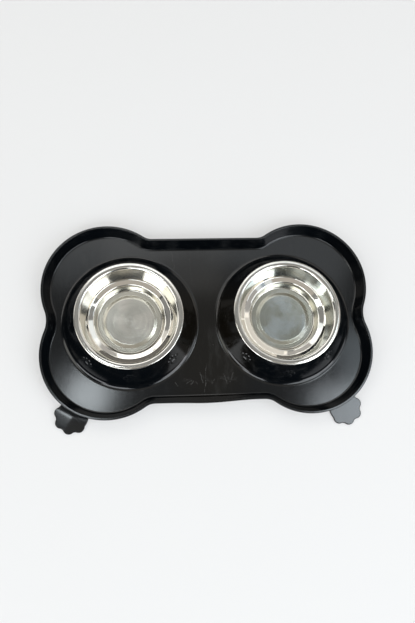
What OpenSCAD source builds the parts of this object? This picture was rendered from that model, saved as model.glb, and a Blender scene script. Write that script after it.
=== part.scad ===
// Double pet bowl: a bone-shaped silicone tray with two stainless feeding bowls.
// Millimetres, +Z up. The origin is on the underside of the tray, midway between the bowls.
// +X runs along the tray and the two grip tabs are towards -Y.

/* [Tray] */
// Overall length of the tray at its lip, without the grip tabs
tray_length = 436; // [430:1:444]
// Overall width of the tray at its lip, without the grip tabs
tray_width = 260; // [254:1:266]
// Radius of the four round lobes of the bone shape
lobe_r = 86; // [84:1:88]
// Length of the tray across its waist, where the ends draw in between two lobes
waist_length = 420; // [416:1:424]
// Width of the tray between its two straight long edges
edge_width = 222; // [216:1:228]
// Radius of the hollow corner where a straight edge meets a lobe
edge_fillet_r = 20.78; // [14:0.01:30]
// Height of the lip above the table
tray_h = 19; // [15:0.5:24]
// Thickness of the silicone sheet that the tray and the collars are moulded in
mat_t = 2.6; // [2:0.1:3.2]
// How far the sloping wall runs inwards on its way down
wall_run = 7.6; // [5:0.1:9]
// Bend radius between the wall and the floor, in the middle of the sheet
wall_bend_r = 4.5; // [3:0.1:5.5]
// Radius of the round bead along the lip
lip_r = 1.7; // [1.5:0.1:2]

/* [Collars] */
// Distance between the middles of the two bowls
bowl_spacing = 204.6; // [202:0.1:207]
// Radius of the collar at its foot, in the middle of the sheet
collar_foot_r = 86.7; // [84:0.1:88]
// Bend radius between the collar and the floor, in the middle of the sheet
collar_bend_r = 10; // [7:0.1:10.5]
// Radius of the round bead along the top of a collar
collar_lip_r = 1.8; // [1.5:0.1:2]
// Depth of the flat seat cut on that bead
seat_cut = 0.8; // [0.5:0.1:1]

/* [Bowls] */
// Rim diameter of a bowl
bowl_d = 140; // [138:0.5:142]
// Height of the underside of the rim above the table
seat_h = 39.4; // [36:0.1:44]
// Thickness of the pressed steel
steel_t = 0.8; // [0.6:0.1:0.9]
// Gap under a bowl, between its foot and the table
foot_gap = 3.4; // [2:0.1:5]
// Radius of the rolled edge, in the middle of the steel
roll_r = 0.9; // [0.8:0.05:1]
// Width of the flat rim, from the top of the wall to the outer edge
rim_w = 7.4; // [7:0.1:8]
// Bend radius where the rim turns down into the wall
rim_bend_r = 1.6; // [1.2:0.1:2]
// Diameter inside the foot of the upper wall, where it meets the step
step_outer_d = 108; // [104:0.5:112]
// Diameter at the edge of the inner cup
step_inner_d = 93.2; // [90:0.1:96]
// Height of the step above the foot of the bowl, at the edge of the inner cup
step_h = 13.4; // [10:0.1:16]
// Rise of the step from its inner edge to the foot of the upper wall
step_rise = 1.9; // [1:0.1:3]
// Bend radius of the step's edges
step_bend_r = 1.8; // [1.4:0.1:2.6]
// Diameter of the inner cup at its floor
cup_floor_d = 87; // [85:0.5:88]
// Bend radius between the cup's wall and its floor
cup_bend_r = 2.2; // [1.6:0.1:3]
// Diameter of the raised middle of the floor
plateau_d = 63; // [58:0.5:64]
// Height of the raised middle above the foot
plateau_rise = 1; // [0.6:0.1:1.4]
// Width of the slope round the raised middle
plateau_slope_w = 5; // [4.4:0.1:5.6]
// Bend radius at both edges of that slope
plateau_bend_r = 8; // [4:0.1:10]

/* [Grip tabs] */
// Direction of a tab seen from the middle of its lobe, in degrees from +X towards -Y
tab_angle = 60; // [50:1:70]
// How far the middle of a tab's pad stands beyond the lip
tab_reach = 4; // [2:0.5:5]
// Radius of the tab's pad, which runs in under the wall as far as the floor
tab_pad_r = 20.6; // [20:0.2:22]
// Radius of each toe of the paw
toe_r = 7.2; // [6.8:0.1:7.8]
// Distance from the middle of the pad to the middle of a toe
toe_reach = 16.2; // [15.8:0.1:17.4]
// Angle between neighbouring toes, in degrees
toe_step = 46; // [42:1:48]
// Turn of the toes about the middle of the pad, in degrees towards the tray's end
toe_turn = 8; // [0:1:12]
// Height of the bevel on the tab's upper edge
tab_bevel = 0.7; // [0.3:0.1:1]

/* [Hidden] */
$fn = 180;

// Angle that one flat of a bent profile spans, in degrees
bend_step = 9;
// Angle that one flat of the floor's hidden edge spans, in degrees
floor_step = 5;
// How far a cutting shape runs past what it cuts
overrun = 1;
// Width on which two pieces of the moulding run into each other
lap = 0.5;
// Play between the start of the seat on a collar and the bend of the bowl's rim
seat_play = 0.1;
// Number of toes on a grip tab
toe_count = 4;

half_t = mat_t / 2;
bowl_x = bowl_spacing / 2;

// Middles of the arcs that make up one quarter of the bone outline
lobe_x = tray_length / 2 - lobe_r;
lobe_y = tray_width / 2 - lobe_r;
lobe_c = [lobe_x, lobe_y];
waist_gap = waist_length / 2 - lobe_x;
waist_fillet_r = (waist_gap * waist_gap + lobe_y * lobe_y - lobe_r * lobe_r) / (lobe_r - waist_gap) / 2;
waist_c = [waist_length / 2 + waist_fillet_r, 0];
edge_y = edge_width / 2;
edge_rise = edge_y + edge_fillet_r - lobe_y;
edge_span = sqrt((lobe_r + edge_fillet_r) * (lobe_r + edge_fillet_r) - edge_rise * edge_rise);
edge_c = [lobe_x - edge_span, lobe_y + edge_rise];
waist_angle = atan2(lobe_y, waist_c[0] - lobe_x);
edge_angle = atan2(edge_rise, -edge_span);

// The wall's path through the middle of the sheet: inset from the outline, then height
wall_top = [lip_r, tray_h - lip_r];
wall_foot = [lip_r + wall_run, half_t];
wall_slope = atan2(wall_top[1] - wall_foot[1], wall_run);
floor_inset = wall_foot[0] + wall_bend_r * tan(wall_slope / 2) + lap;

// The bowl's path through the middle of the steel: radius, then height
steel_half = steel_t / 2;
rim_z = seat_h + steel_half;
rim_out_r = bowl_d / 2 - steel_half;
foot_z = foot_gap + steel_half;
cup_top_z = foot_z + step_h;
bowl_path = [
    [0, foot_z + plateau_rise],
    [plateau_d / 2, foot_z + plateau_rise],
    [plateau_d / 2 + plateau_slope_w, foot_z],
    [cup_floor_d / 2, foot_z],
    [step_inner_d / 2, cup_top_z],
    [step_outer_d / 2, cup_top_z + step_rise],
    [bowl_d / 2 - rim_w, rim_z],
    [rim_out_r, rim_z],
    [rim_out_r, rim_z - 2 * roll_r],
    [rim_out_r - 2 * roll_r, rim_z - 2 * roll_r],
    [rim_out_r - 2 * roll_r, rim_z - roll_r]
];
bowl_bends = [
    0, plateau_bend_r, plateau_bend_r, cup_bend_r, step_bend_r, step_bend_r, rim_bend_r, roll_r, roll_r, roll_r, 0
];
rim_slope = atan2(rim_z - cup_top_z - step_rise, (bowl_d - step_outer_d) / 2 - rim_w);

// The collar's path through the middle of the sheet: radius, then height
// The seat on its bead starts where the rim of the bowl has become flat
seat_half_w = sqrt(seat_cut * (2 * collar_lip_r - seat_cut));
rim_flat_r = bowl_d / 2 - rim_w + rim_bend_r * tan(rim_slope / 2);
collar_top = [rim_flat_r + seat_play + seat_half_w, seat_h - collar_lip_r + seat_cut];
collar_foot = [collar_foot_r, half_t];
collar_slope = atan2(collar_top[1] - collar_foot[1], collar_foot[0] - collar_top[0]);
collar_floor_r = collar_foot_r + collar_bend_r * tan(collar_slope / 2) + lap;

// Geometry helpers

function unit(v) = v / norm(v);
function left_of(v) = [-v[1], v[0]];
function reversed(list) = [for (i = [len(list) - 1:-1:0]) list[i]];

// Signed angle by which a path turns from direction a to direction b
function turn(a, b) = atan2(a[0] * b[1] - a[1] * b[0], a * b);

// Moves one corner of a path sideways, so that both legs shift by the same distance
function shifted_corner(path, i, distance) =
    let (
        last = len(path) - 1,
        before = unit(path[max(i, 1)] - path[max(i, 1) - 1]),
        after = unit(path[min(i + 1, last)] - path[min(i, last - 1)]),
        half_turn = turn(before, after) / 2,
        across = unit(left_of(before) + left_of(after))
    )
    path[i] + across * distance / cos(half_turn);

function shifted_path(path, distance) = [for (i = [0:len(path) - 1]) shifted_corner(path, i, distance)];

// Points of the arc that rounds corner i, or the corner itself where it is sharp
function rounded_corner(path, i, radius) =
    i == 0 || i == len(path) - 1 || radius <= 0 ? [path[i]] :
    let (
        before = unit(path[i] - path[i - 1]),
        after = unit(path[i + 1] - path[i]),
        angle = turn(before, after),
        side = sign(angle),
        start = path[i] - before * radius * tan(abs(angle) / 2),
        middle = start + left_of(before) * radius * side,
        from = atan2(start[1] - middle[1], start[0] - middle[0]),
        count = ceil(abs(angle) / bend_step)
    )
    [for (k = [0:count]) middle + radius * [cos(from + angle * k / count), sin(from + angle * k / count)]];

// Bend radius of corner i once the path has been moved sideways
function shifted_bend(path, bends, i, distance) =
    i == 0 || i == len(path) - 1 || bends[i] <= 0 ? 0 :
    bends[i] - distance * sign(turn(path[i] - path[i - 1], path[i + 1] - path[i]));

function sheet_side(path, bends, distance) =
    let (moved = shifted_path(path, distance))
    [
        for (i = [0:len(path) - 1])
            each rounded_corner(moved, i, shifted_bend(path, bends, i, distance))
    ];

// Section of a bent sheet of even thickness along a path
module sheet_section(path, bends, thickness) {
    polygon(concat(
        sheet_side(path, bends, thickness / 2),
        reversed(sheet_side(path, bends, -thickness / 2))
    ));
}

function arc_points(middle, radius, from, to) =
    let (count = ceil(abs(to - from) / floor_step))
    [for (k = [0:count]) middle + radius * [cos(from + (to - from) * k / count), sin(from + (to - from) * k / count)]];

// One quarter of the bone outline, moved inwards by an inset
function quarter_outline(inset) = concat(
    arc_points(waist_c, waist_fillet_r + inset, 180, 180 - waist_angle),
    arc_points(lobe_c, lobe_r - inset, -waist_angle, edge_angle),
    arc_points(edge_c, edge_fillet_r + inset, edge_angle - 180, -90)
);

function flipped(points, x, y) = [for (p = points) [p[0] * x, p[1] * y]];

function bone_outline(inset) =
    let (quarter = quarter_outline(inset))
    concat(
        quarter,
        reversed(flipped(quarter, -1, 1)),
        flipped(quarter, -1, -1),
        reversed(flipped(quarter, 1, -1))
    );

// The tray

// The wall's section: x is the inset from the outline, y is the height
module wall_section() {
    sheet_section([[floor_inset + lap, half_t], wall_foot, wall_top], [0, wall_bend_r, 0], mat_t);
    translate(wall_top) circle(r = lip_r);
}

// A stretch of wall round the middle of an arc, cut out by a wedge of the plan
module wall_arc(middle, radius, facing, wedge) {
    intersection() {
        translate([middle[0], middle[1], 0])
            rotate([0, 0, facing > 0 ? 0 : 180])
                rotate_extrude()
                    translate([radius, 0]) mirror([facing > 0 ? 0 : 1, 0]) wall_section();
        translate([0, 0, -overrun])
            linear_extrude(height = tray_h + 2 * overrun) polygon(wedge);
    }
}

module lobe_wall() {
    top_y = lobe_y + 2 * lobe_r;
    wall_arc(lobe_c, lobe_r, -1, [lobe_c, waist_c, [waist_c[0], top_y], [edge_c[0], top_y], edge_c]);
}

module edge_fillet_wall() {
    wall_arc(edge_c, edge_fillet_r, 1, [edge_c, [edge_c[0], lobe_y], lobe_c]);
}

module waist_wall() {
    wall_arc(waist_c, waist_fillet_r, 1, [waist_c, lobe_c, [lobe_x, -lobe_y]]);
}

module straight_wall() {
    translate([-edge_c[0], edge_y, 0])
        rotate([90, 0, 90])
            linear_extrude(height = 2 * edge_c[0]) mirror([1, 0]) wall_section();
}

module on_both_ends() {
    for (side = [0, 1]) mirror([side, 0, 0]) children();
}

module on_both_edges() {
    for (side = [0, 1]) mirror([0, side, 0]) children();
}

module tray_wall() {
    on_both_ends() on_both_edges() {
        lobe_wall();
        edge_fillet_wall();
    }
    on_both_ends() waist_wall();
    on_both_edges() straight_wall();
}

module tray_floor() {
    difference() {
        linear_extrude(height = mat_t) polygon(bone_outline(floor_inset));
        on_both_ends()
            translate([bowl_x, 0, -overrun])
                cylinder(r = collar_floor_r, h = mat_t + 2 * overrun);
    }
}

// A collar is the same sheet, bent up from the floor into a cone that ends in a bead with a flat seat
module collar() {
    rotate_extrude()
        difference() {
            union() {
                sheet_section([[collar_floor_r + lap, half_t], collar_foot, collar_top], [0, collar_bend_r, 0], mat_t);
                translate(collar_top) circle(r = collar_lip_r);
            }
            translate([collar_top[0] - collar_lip_r - overrun, seat_h])
                square([2 * (collar_lip_r + overrun), collar_lip_r + overrun]);
        }
}

module bevelled_disc(radius) {
    cylinder(r = radius, h = mat_t - tab_bevel);
    translate([0, 0, mat_t - tab_bevel]) cylinder(r1 = radius, r2 = radius - tab_bevel, h = tab_bevel);
}

// A paw-shaped tab that runs out from under the wall, to hold or peel up the mat by
module grip_tab() {
    translate([lobe_x, -lobe_y, 0])
        rotate([0, 0, -tab_angle])
            translate([lobe_r + tab_reach, 0, 0]) {
                bevelled_disc(tab_pad_r);
                for (i = [0:toe_count - 1])
                    rotate([0, 0, (i - (toe_count - 1) / 2) * toe_step + toe_turn])
                        translate([toe_reach, 0, 0]) bevelled_disc(toe_r);
            }
}

module mat() {
    color([0.07, 0.07, 0.075])
        union() {
            tray_wall();
            tray_floor();
            on_both_ends() translate([bowl_x, 0, 0]) collar();
            on_both_ends() grip_tab();
        }
}

// The bowls

module bowl() {
    color([0.78, 0.77, 0.75])
        rotate_extrude() sheet_section(bowl_path, bowl_bends, steel_t);
}

module left_bowl() {
    translate([-bowl_x, 0, 0]) bowl();
}

module right_bowl() {
    translate([bowl_x, 0, 0]) bowl();
}

mat();
left_bowl();
right_bowl();
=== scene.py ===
"""A double pet bowl: a bone-shaped silicone mat that carries two pressed steel bowls."""

import cmath
import logging
import math
from collections.abc import Mapping, Sequence
from dataclasses import dataclass, field
from enum import Enum

import bmesh
import bpy
import numpy as np
from mathutils import Matrix, Vector
from mathutils.geometry import delaunay_2d_cdt


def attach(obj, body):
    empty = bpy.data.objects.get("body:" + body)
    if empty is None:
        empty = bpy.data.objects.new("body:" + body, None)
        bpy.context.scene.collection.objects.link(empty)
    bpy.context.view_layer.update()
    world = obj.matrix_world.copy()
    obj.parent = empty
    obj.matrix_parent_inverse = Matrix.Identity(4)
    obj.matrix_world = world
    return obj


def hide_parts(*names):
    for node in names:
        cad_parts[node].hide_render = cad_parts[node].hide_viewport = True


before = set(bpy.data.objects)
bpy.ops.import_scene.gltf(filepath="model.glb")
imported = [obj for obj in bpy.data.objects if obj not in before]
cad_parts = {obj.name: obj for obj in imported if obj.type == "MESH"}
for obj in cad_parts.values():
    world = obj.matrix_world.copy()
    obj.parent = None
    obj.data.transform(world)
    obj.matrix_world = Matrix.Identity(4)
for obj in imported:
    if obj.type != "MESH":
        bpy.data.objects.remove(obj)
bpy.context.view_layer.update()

LOG = logging.getLogger("double_pet_bowl")
MM = 0.001
BOWL_X = 102.3  # mm from the middle of the mat to a bowl's axis
SEAT_Z = 39.4  # mm from the table to the seat under a bowl's rim
STRAIGHT = 1e-6  # turns below this, in radians, count as none
SAME_POINT = 1e-5  # mm within which the floor's points are taken for one
Triple = tuple[float, float, float]
Colour = Triple
Band = tuple[float, float]


class Slot(Enum):
    """The record's material slots."""

    SILICONE = "silicone"
    STEEL = "stainless_steel"


class End(Enum):
    """The two ends of the mat, with the sign of X that each has."""

    LEFT = -1
    RIGHT = 1

    @property
    def word(self) -> str:
        """The end's name as the nodes and bodies spell it."""
        return self.name.lower()


# Shader tools


class Signal:
    """A shader value that takes part in arithmetic.

    Args:
        desk: The desk whose tree gets the Math nodes.
        socket: The output socket that carries the value.
    """

    def __init__(self, desk: "Desk", socket: bpy.types.NodeSocket) -> None:
        """Keeps the desk and the socket."""
        self.desk = desk
        self.socket = socket

    def _maths(self, operation: str, *values: "Signal | float") -> "Signal":
        """Adds one Math node and returns its result."""
        made = self.desk.add("ShaderNodeMath", {"operation": operation}, dict(enumerate(values)))
        return Signal(self.desk, made.outputs[0])

    def __add__(self, other: "Signal | float") -> "Signal":
        """This value plus another."""
        return self._maths("ADD", self, other)

    def __radd__(self, other: "Signal | float") -> "Signal":
        """Another value plus this one."""
        return self._maths("ADD", other, self)

    def __sub__(self, other: "Signal | float") -> "Signal":
        """This value less another."""
        return self._maths("SUBTRACT", self, other)

    def __rsub__(self, other: "Signal | float") -> "Signal":
        """Another value less this one."""
        return self._maths("SUBTRACT", other, self)

    def __mul__(self, other: "Signal | float") -> "Signal":
        """This value times another."""
        return self._maths("MULTIPLY", self, other)

    def __rmul__(self, other: "Signal | float") -> "Signal":
        """Another value times this one."""
        return self._maths("MULTIPLY", other, self)

    def __truediv__(self, other: "Signal | float") -> "Signal":
        """This value over another."""
        return self._maths("DIVIDE", self, other)

    def __rtruediv__(self, other: "Signal | float") -> "Signal":
        """Another value over this one."""
        return self._maths("DIVIDE", other, self)

    def __pow__(self, other: "Signal | float") -> "Signal":
        """This value to a power."""
        return self._maths("POWER", self, other)

    def __rpow__(self, other: "Signal | float") -> "Signal":
        """Another value to the power of this one."""
        return self._maths("POWER", other, self)

    def root(self) -> "Signal":
        """The square root of this value."""
        return self._maths("SQRT", self)

    def size(self) -> "Signal":
        """This value without its sign."""
        return self._maths("ABSOLUTE", self)

    def least(self, other: "Signal | float") -> "Signal":
        """The smaller of this value and another."""
        return self._maths("MINIMUM", self, other)

    def most(self, other: "Signal | float") -> "Signal":
        """The larger of this value and another."""
        return self._maths("MAXIMUM", self, other)

    def centred(self) -> "Signal":
        """This noise with its mean moved from 0.5 to 0."""
        return self - 0.5

    def step(self, low: float, high: float) -> "Signal":
        """Rises smoothly from 0 to 1.

        Args:
            low: Where the result is 0.
            high: Where it is 1, which may lie below low.

        Returns:
            The share, kept from 0 to 1.
        """
        flip = low > high
        made = self.desk.add(
            "ShaderNodeMapRange",
            {"interpolation_type": "SMOOTHSTEP"},
            {0: self, 1: min(low, high), 2: max(low, high), 3: float(flip), 4: float(not flip)},
        )
        return Signal(self.desk, made.outputs[0])


@dataclass(frozen=True)
class Grain:
    """Soft noise: blobs to a metre, how many finer layers it has and how strong they are."""

    per_metre: float
    detail: float = 2.0
    rough: float = 0.5


class Desk:
    """The node tree of one material or world, with the few calls that fill it.

    Args:
        tree: The tree to fill. What it holds is cleared.
    """

    def __init__(self, tree: bpy.types.NodeTree) -> None:
        """Keeps the tree and clears it."""
        self.tree = tree
        tree.nodes.clear()

    def add(self, kind: str, settings: Mapping[str, object] | None = None,
            inputs: Mapping[int | str, object] | None = None) -> bpy.types.Node:
        """Adds a node, sets it up and feeds it.

        Args:
            kind: The node's type.
            settings: Its settings, which are made before the inputs.
            inputs: A value, a socket or a Signal for each input, by name or number.

        Returns:
            The node.
        """
        node = self.tree.nodes.new(kind)
        for name, value in (settings or {}).items():
            setattr(node, name, value)
        for key, value in (inputs or {}).items():
            if isinstance(value, Signal):
                value = value.socket
            if isinstance(value, bpy.types.NodeSocket):
                self.tree.links.new(value, node.inputs[key])
            else:
                node.inputs[key].default_value = value
        return node

    def axes(self) -> tuple[bpy.types.NodeSocket, Signal, Signal]:
        """The object's own coordinates.

        Returns:
            The coordinates in metres as a vector, and their X and Y.
        """
        place = self.add("ShaderNodeTexCoord").outputs["Object"]
        split = self.add("ShaderNodeSeparateXYZ", None, {0: place})
        return place, Signal(self, split.outputs[0]), Signal(self, split.outputs[1])

    def vector(self, x: Signal | float, y: Signal | float,
               z: Signal | float) -> bpy.types.NodeSocket:
        """A vector made of three values."""
        return self.add("ShaderNodeCombineXYZ", None, {0: x, 1: y, 2: z}).outputs[0]

    def stretched(self, place: bpy.types.NodeSocket, by: Triple) -> bpy.types.NodeSocket:
        """A vector times another, axis by axis."""
        made = self.add("ShaderNodeVectorMath", {"operation": "MULTIPLY"}, {0: place, 1: by})
        return made.outputs[0]

    def noise(self, place: bpy.types.NodeSocket, grain: Grain) -> Signal:
        """Soft noise of about 0 to 1 with a mean of 0.5.

        Args:
            place: The coordinates in metres.
            grain: The noise's scale and layers.

        Returns:
            The noise.
        """
        made = self.add("ShaderNodeTexNoise", None, {
            "Vector": place,
            "Scale": grain.per_metre,
            "Detail": grain.detail,
            "Roughness": grain.rough,
        })
        return Signal(self, made.outputs[0])

    def mixed(self, share: Signal, first: Colour | bpy.types.NodeSocket,
              second: Colour | bpy.types.NodeSocket) -> bpy.types.NodeSocket:
        """A blend of two colours.

        Args:
            share: How much of the second colour shows.
            first: A colour or its socket.
            second: The other one.

        Returns:
            The blend's socket.
        """
        pair = [(*c, 1.0) if isinstance(c, tuple) else c for c in (first, second)]
        made = self.add("ShaderNodeMix", {"data_type": "RGBA"}, {0: share, 6: pair[0], 7: pair[1]})
        return made.outputs[2]

    def bump(self, height: Signal, depth: float) -> bpy.types.NodeSocket:
        """A normal that follows a height.

        Args:
            height: The height, in units of depth.
            depth: The depth in metres.

        Returns:
            The normal's socket.
        """
        made = self.add("ShaderNodeBump", None,
                        {"Strength": 1.0, "Distance": depth, "Height": height})
        return made.outputs[0]


def new_material(name: str) -> tuple[bpy.types.Material, Desk]:
    """Makes an empty material.

    Args:
        name: The material's name.

    Returns:
        The material and the desk that fills it.
    """
    made = bpy.data.materials.new(name)
    made.use_nodes = True
    return made, Desk(made.node_tree)


def finish_surface(desk: Desk, inputs: Mapping[int | str, object]) -> None:
    """Adds the Principled shader with its inputs, and the output."""
    skin = desk.add("ShaderNodeBsdfPrincipled", None, inputs)
    desk.add("ShaderNodeOutputMaterial", None, {0: skin.outputs[0]})


# Finishes


@dataclass(frozen=True)
class Scuff:
    """A pale mark on the mat: a straight stroke in plan with its half width, in millimetres."""

    start: complex
    end: complex
    width: float
    strength: float

    def mask(self, x: Signal, y: Signal) -> Signal:
        """How much of the mark shows.

        Args:
            x: X in metres.
            y: Y in metres.

        Returns:
            The mark's strength on the stroke, which fades to 0 over its width.
        """
        length = abs(self.end - self.start) * MM
        along = (self.end - self.start) / abs(self.end - self.start)
        from_x, from_y = x - self.start.real * MM, y - self.start.imag * MM
        run = from_x * along.real + from_y * along.imag
        off = (from_y * along.real - from_x * along.imag).size()
        past = (run - length / 2).size() - length / 2
        return off.most(past).step(self.width * MM, 0.0) * self.strength


@dataclass(frozen=True)
class SiliconeFinish:
    """Black moulded silicone with a fine satin grain, a film of dust and the scuffs of use.

    Round a point warm_front before the middle of the mat, as far as warm_wide and warm_tall, the
    colour is a little warmer. Dust lies in smears and specks, and it dulls the satin.
    """

    name: str = "black_silicone"
    ink: Colour = (0.0018, 0.0026, 0.0036)
    warm_ink: Colour = (0.0045, 0.0037, 0.0026)
    warm_front: float = 0.03
    warm_wide: float = 0.075
    warm_tall: float = 0.12
    warm_band: Band = (1.0, 0.1)
    dust: Colour = (0.16, 0.16, 0.155)
    cloud: Grain = Grain(9.0, 3.0)
    cloud_band: Band = (0.4, 0.7)
    speck: Grain = Grain(900.0, 2.0, 0.7)
    speck_band: Band = (0.69, 0.76)
    speck_share: float = 0.16
    smear: Grain = Grain(110.0, 4.0, 0.62)
    smear_stretch: Triple = (1.0, 0.25, 1.0)
    smear_band: Band = (0.48, 0.8)
    smear_share: float = 0.1
    roughness: float = 0.11
    cloud_roughness: float = 0.06
    smear_roughness: float = 0.03
    film_roughness: float = 0.3
    satin: Grain = Grain(1500.0, 3.0, 0.6)
    satin_depth: float = 0.012 * MM
    sway: float = 5.0 * MM
    sway_x: Grain = Grain(150.0)
    sway_y: Grain = Grain(130.0)
    wear: Grain = Grain(420.0, 3.0, 0.7)
    wear_band: Band = (0.35, 0.62)
    scuffs: tuple[Scuff, ...] = (
        Scuff(-3.0 - 60j, -5.5 - 80j, 0.5, 0.30),
        Scuff(-5.5 - 80j, -5.8 - 97j, 0.6, 0.55),
        Scuff(-11.5 - 71j, -9.0 - 84j, 0.9, 0.35),
        Scuff(-29.0 - 84j, -23.5 - 81j, 1.2, 0.32),
        Scuff(-24.5 - 86j, -21.0 - 82j, 1.0, 0.30),
        Scuff(-17.5 - 83j, -16.0 - 86j, 0.8, 0.32),
        Scuff(-45.0 - 83j, -42.0 - 88j, 0.8, 0.26),
        Scuff(3.0 - 85j, 7.0 - 79j, 0.9, 0.24),
        Scuff(19.0 - 74j, 24.0 - 86j, 1.4, 0.22),
        Scuff(32.0 - 73j, 27.0 - 84j, 1.4, 0.18),
        Scuff(6.0 - 33j, 7.5 - 34j, 0.8, 0.30),
        Scuff(-32.0 - 79j, -20.0 - 83j, 2.6, 0.10),
        Scuff(-8.0 - 76j, 4.0 - 84j, 3.0, 0.08),
        Scuff(14.0 - 78j, 34.0 - 80j, 3.4, 0.09),
        Scuff(-44.0 + 98j, -42.0 + 72j, 0.5, 0.20),
        Scuff(-20.0 + 96j, -19.0 + 52j, 0.4, 0.12),
    )

    def build(self) -> bpy.types.Material:
        """Makes the material from the mat's own coordinates.

        Returns:
            The material.
        """
        made, desk = new_material(self.name)
        place, x, y = desk.axes()
        cloud = desk.noise(place, self.cloud)
        speck = desk.noise(place, self.speck)
        smear = desk.noise(desk.stretched(place, self.smear_stretch), self.smear)
        off_x, off_y = x / self.warm_wide, (y + self.warm_front) / self.warm_tall
        warm = (off_x ** 2.0 + off_y ** 2.0).step(*self.warm_band)
        film = (
            smear.step(*self.smear_band) * cloud.step(*self.cloud_band) * self.smear_share
            + speck.step(*self.speck_band) * self.speck_share
        )
        film = (film + self._scuffed(desk, place, x, y)).least(1.0)
        finish_surface(desk, {
            "Base Color": desk.mixed(film, desk.mixed(warm, self.ink, self.warm_ink), self.dust),
            "Roughness": self.roughness + cloud.centred() * self.cloud_roughness
            + smear.centred() * self.smear_roughness + film * self.film_roughness,
            "Specular IOR Level": 0.5,
            "Normal": desk.bump(desk.noise(place, self.satin), self.satin_depth),
        })
        return made

    def _scuffed(self, desk: Desk, place: bpy.types.NodeSocket, x: Signal, y: Signal) -> Signal:
        """The scuffs, bent a little by noise and broken up by wear.

        Args:
            desk: The material's desk.
            place: The mat's coordinates.
            x: Their X.
            y: Their Y.

        Returns:
            How pale the scuffs make each place.
        """
        bent_x = x + desk.noise(place, self.sway_x).centred() * self.sway
        bent_y = y + desk.noise(place, self.sway_y).centred() * self.sway
        marks, *others = (scuff.mask(bent_x, bent_y) for scuff in self.scuffs)
        for other in others:
            marks = marks.most(other)
        return marks * desk.noise(place, self.wear).step(*self.wear_band)


@dataclass(frozen=True)
class SteelFinish:
    """Pressed stainless steel: mirror-polished walls, a satin rim and a floor brushed in rings.

    A duller ring runs round the raised middle of the floor, and its darker straw colour is
    painted reflection: it stands in for the dark arcs and warm glints that the slope and bends
    mirror. Distances are measured from the bowl's axis, in metres. The painted floor light is the
    pair of colours that the floor clouds between: the left floor is painted lighter and warm, the
    right one darker with bluish patches of painted reflection. The wave is the slight unevenness
    of the pressed sheet.
    """

    name: str
    axis_x: float
    # The floor's pair of colours is painted light: painted shade, with patches of painted
    # reflection.
    painted_floor_light: tuple[Colour, Colour]
    tint: Colour = (0.745, 0.725, 0.68)
    polish: float = 0.04
    anisotropy: float = 0.35
    floor_r: Band = (42.5 * MM, 40.5 * MM)
    floor_roughness: float = 0.17
    rim_r: Band = (62.2 * MM, 63.0 * MM)
    rim_roughness: float = 0.09
    # Painted reflection: the darker straw colour of the ring round the raised middle stands in for
    # the dark arcs and glints that its slope and bends mirror.
    dull_shaded_ring: Colour = (0.4, 0.38, 0.31)
    dull_shaded_start: Band = (29.0 * MM, 33.0 * MM)
    dull_shaded_end: Band = (45.0 * MM, 41.0 * MM)
    dull_shaded_share: float = 0.6
    dull_roughness: float = 0.05
    stain: Grain = Grain(60.0, 4.0, 0.6)
    stain_band: Band = (0.45, 0.8)
    stain_share: float = 0.15
    stain_roughness: float = 0.04
    cloud: Grain = Grain(32.0, 2.0, 0.55)
    cloud_band: Band = (0.4, 0.62)
    cloud_share: float = 0.75
    wide_rings: Grain = Grain(260.0, 2.0, 0.6)
    wide_gain: float = 1.2
    wide_base: float = 0.3
    wide_roughness: float = 0.16
    rings: Grain = Grain(1600.0, 4.0, 0.75)
    rings_on_floor: float = 0.8
    rings_on_rim: float = 0.5
    rings_on_wall: float = 0.06
    wave: Grain = Grain(26.0)
    wave_height: float = 3.0
    depth: float = 0.006 * MM

    def build(self) -> bpy.types.Material:
        """Makes the material from the distance to the bowl's axis.

        Returns:
            The material.
        """
        made, desk = new_material(self.name)
        place, x, y = desk.axes()
        radius = ((x - self.axis_x) ** 2.0 + y ** 2.0).root()
        rings = desk.noise(desk.vector(radius, 0.0, 0.0), self.rings)
        wide_rings = desk.noise(desk.vector(radius, 0.0, 0.0), self.wide_rings)
        floor, rim = radius.step(*self.floor_r), radius.step(*self.rim_r)
        # The ring's mask makes the steel duller, and in the colour it carries the ring's painted
        # dark reflection.
        dull_shaded_ring = radius.step(*self.dull_shaded_start) * radius.step(*self.dull_shaded_end)
        stain = desk.noise(place, self.stain).step(*self.stain_band)
        cloud = desk.noise(place, self.cloud).step(*self.cloud_band) * self.cloud_share
        brushed = (wide_rings * self.wide_gain + self.wide_base).least(1.0) * floor
        # On the floor the brushing clouds into the painted floor light: painted shade with patches
        # of painted reflection.
        metal = desk.mixed(brushed + stain * self.stain_share, self.tint,
                           desk.mixed(cloud, *self.painted_floor_light))
        over_polish = self.floor_roughness - self.polish
        roughness = (
            self.polish
            + floor * (over_polish + wide_rings.centred() * self.wide_roughness)
            + rim * (self.rim_roughness - self.polish)
            + stain * self.stain_roughness
            + dull_shaded_ring * self.dull_roughness
        )
        ring_height = floor * self.rings_on_floor + rim * self.rings_on_rim + self.rings_on_wall
        height = rings * ring_height + desk.noise(place, self.wave) * self.wave_height
        finish_surface(desk, {
            # Painted reflection: the ring's darker straw colour.
            "Base Color": desk.mixed(dull_shaded_ring * self.dull_shaded_share, metal, self.dull_shaded_ring),
            "Metallic": 1.0,
            "Roughness": roughness,
            "Anisotropic": self.anisotropy,
            "Normal": desk.bump(height, self.depth),
        })
        return made


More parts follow.
